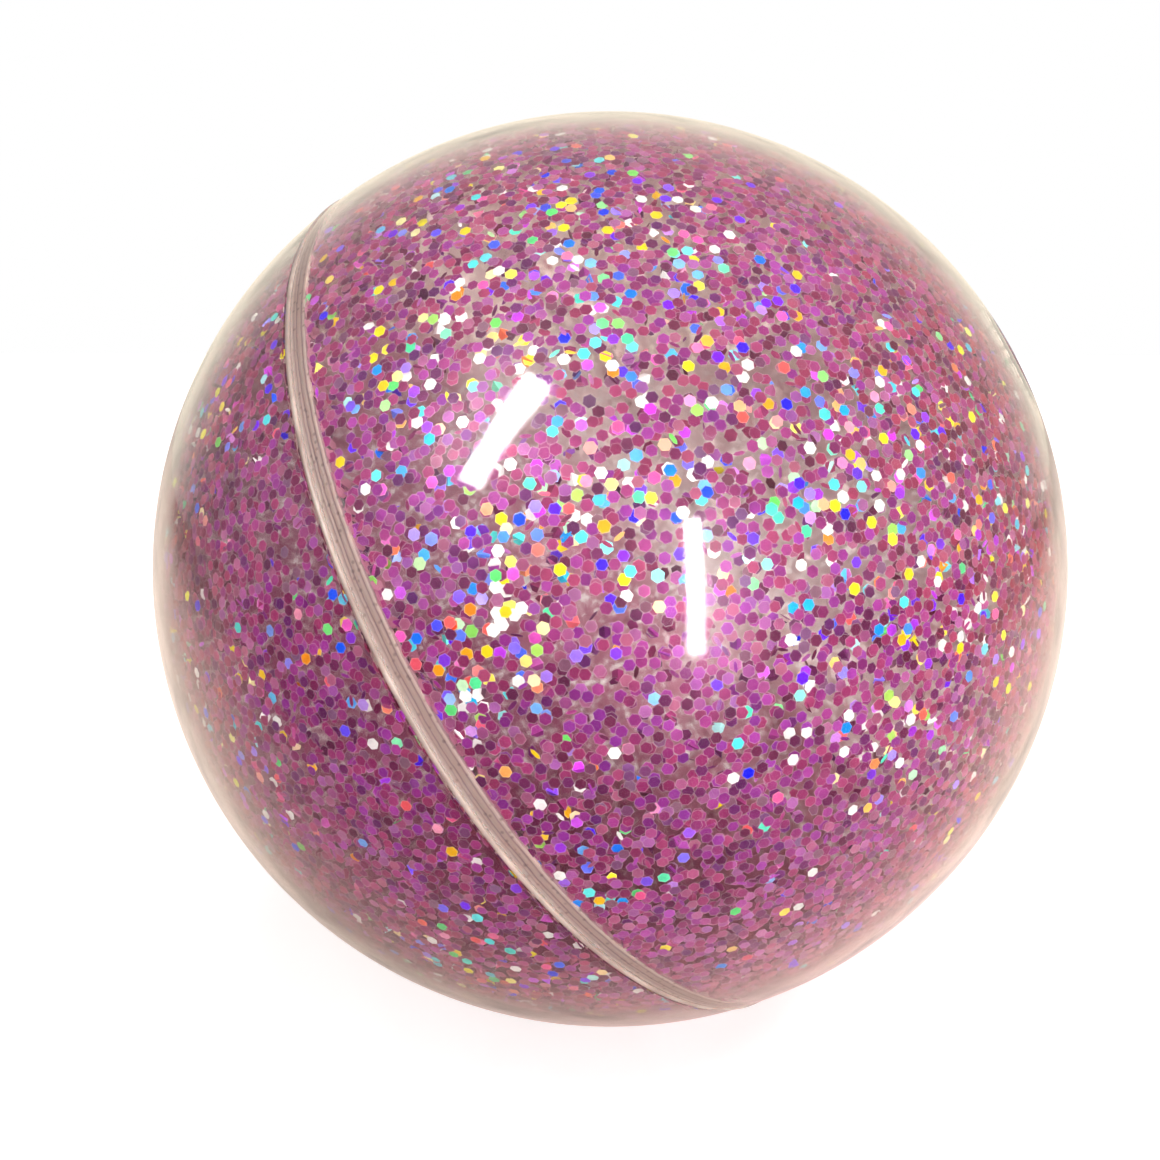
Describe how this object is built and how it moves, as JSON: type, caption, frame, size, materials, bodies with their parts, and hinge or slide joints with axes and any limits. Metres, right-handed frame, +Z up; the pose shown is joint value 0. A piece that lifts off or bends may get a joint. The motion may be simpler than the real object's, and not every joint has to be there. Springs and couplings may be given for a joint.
{
  "type": "bouncy ball",
  "caption": "Hollow clear bouncy ball of two bonded half shells with a filler plug, lined inside with holographic hexagonal glitter flakes.",
  "frame": {"origin": "middle of the ball", "axes": "+Z up as the ball lies; the axis through both poles lies in the XZ plane, with the plug's pole raised 30 degrees above +X"},
  "size_m": [0.1, 0.1002, 0.1],
  "materials": {
    "clear_shell": "clear glossy soft plastic",
    "bond": "hazy adhesive",
    "bead": "set adhesive",
    "plug": "clear soft plastic",
    "rose_foil": "holographic foil",
    "mauve_foil": "holographic foil",
    "plum_foil": "holographic foil",
    "violet_foil": "holographic foil",
    "magenta_foil": "holographic foil",
    "coral_foil": "holographic foil",
    "gold_foil": "holographic foil",
    "green_foil": "holographic foil",
    "aqua_foil": "holographic foil",
    "blue_foil": "holographic foil",
    "pearl_foil": "holographic foil"
  },
  "bodies": {
    "ball": {"front_half_shell": "clear_shell", "rear_half_shell": "clear_shell", "seam_bond": "bond", "seam_bead": "bead", "filler_plug": "plug", "rose_flakes": "rose_foil", "mauve_flakes": "mauve_foil", "plum_flakes": "plum_foil", "violet_flakes": "violet_foil", "magenta_flakes": "magenta_foil", "coral_flakes": "coral_foil", "gold_flakes": "gold_foil", "green_flakes": "green_foil", "aqua_flakes": "aqua_foil", "blue_flakes": "blue_foil", "pearl_flakes": "pearl_foil"},
    "side_roller": {"side_rolling_flakes": "rose_foil"},
    "fore_roller": {"fore_rolling_flakes": "mauve_foil"}
  },
  "joints": [
    {"name": "loose_flakes_roll_sideways", "type": "hinge", "parent": "ball", "child": "side_roller", "pos_m": [0, 0, 0], "axis": [0, 1, 0], "continuous": true},
    {"name": "loose_flakes_roll_fore_and_aft", "type": "hinge", "parent": "ball", "child": "fore_roller", "pos_m": [0, 0, 0], "axis": [1, 0, 0], "continuous": true}
  ]
}
